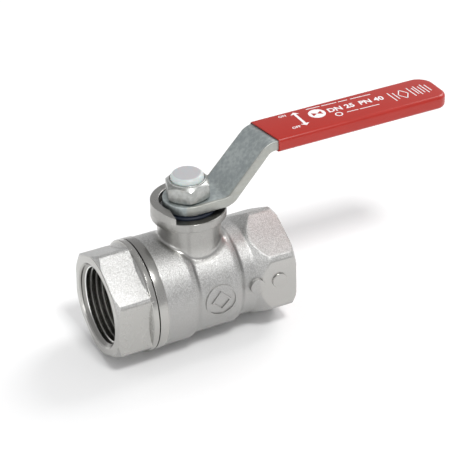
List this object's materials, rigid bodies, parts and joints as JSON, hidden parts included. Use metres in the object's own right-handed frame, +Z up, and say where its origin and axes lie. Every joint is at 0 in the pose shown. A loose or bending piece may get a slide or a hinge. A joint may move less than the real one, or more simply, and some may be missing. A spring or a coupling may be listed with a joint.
{
  "type": "ball valve",
  "caption": "Two-piece ball valve with female threaded ends, hexagons for a spanner and a cranked lever with a plastic sleeve.",
  "frame": {"origin": "where the pipe axis and the stem axis cross, at the centre of the ball", "axes": "+X along the pipe from the screwed-in inlet connector to the body's own outlet, and along the open lever; +Z up the stem"},
  "size_m": [0.152, 0.0452, 0.08],
  "materials": {
    "nickel_body": "nickel-plated forged brass, finely shot-blasted, with turned bright bands",
    "lever_steel": "zinc-plated steel, satin",
    "nut_steel": "bright zinc plate",
    "ball_chrome": "polished chrome plate",
    "stem_brass": "turned",
    "sleeve_red": "glossy red PVC",
    "cap_white": "bluish-white nylon",
    "ptfe": "waxy white PTFE",
    "black_rubber": "black rubber",
    "dust_black": "blue-black plastic"
  },
  "bodies": {
    "housing": {"valve_body": "nickel_body", "end_connector": "nickel_body", "joint_seal_ring": "black_rubber", "seat_ring_inlet": "ptfe", "seat_ring_outlet": "ptfe", "stem_thrust_washer": "ptfe", "stem_dust_ring": "dust_black"},
    "lever": {"stem": "stem_brass", "stem_o_ring_lower": "black_rubber", "stem_o_ring_upper": "black_rubber", "lever_plate": "lever_steel", "lever_sleeve": "sleeve_red", "lock_nut": "nut_steel", "lock_nut_cap": "cap_white"},
    "ball": {"ball": "ball_chrome"}
  },
  "joints": [
    {"name": "lever_turn", "type": "hinge", "parent": "housing", "child": "lever", "pos_m": [0, 0, 0.0357], "axis": [0, 0, 1], "range_deg": [-90, 0]},
    {"name": "ball_turn", "type": "hinge", "parent": "housing", "child": "ball", "pos_m": [0, 0, 0], "axis": [0, 0, 1], "range_deg": [-90, 0]}
  ],
  "couplings": [
    {"joint": "ball_turn", "follows": "lever_turn", "ratio": 1}
  ]
}
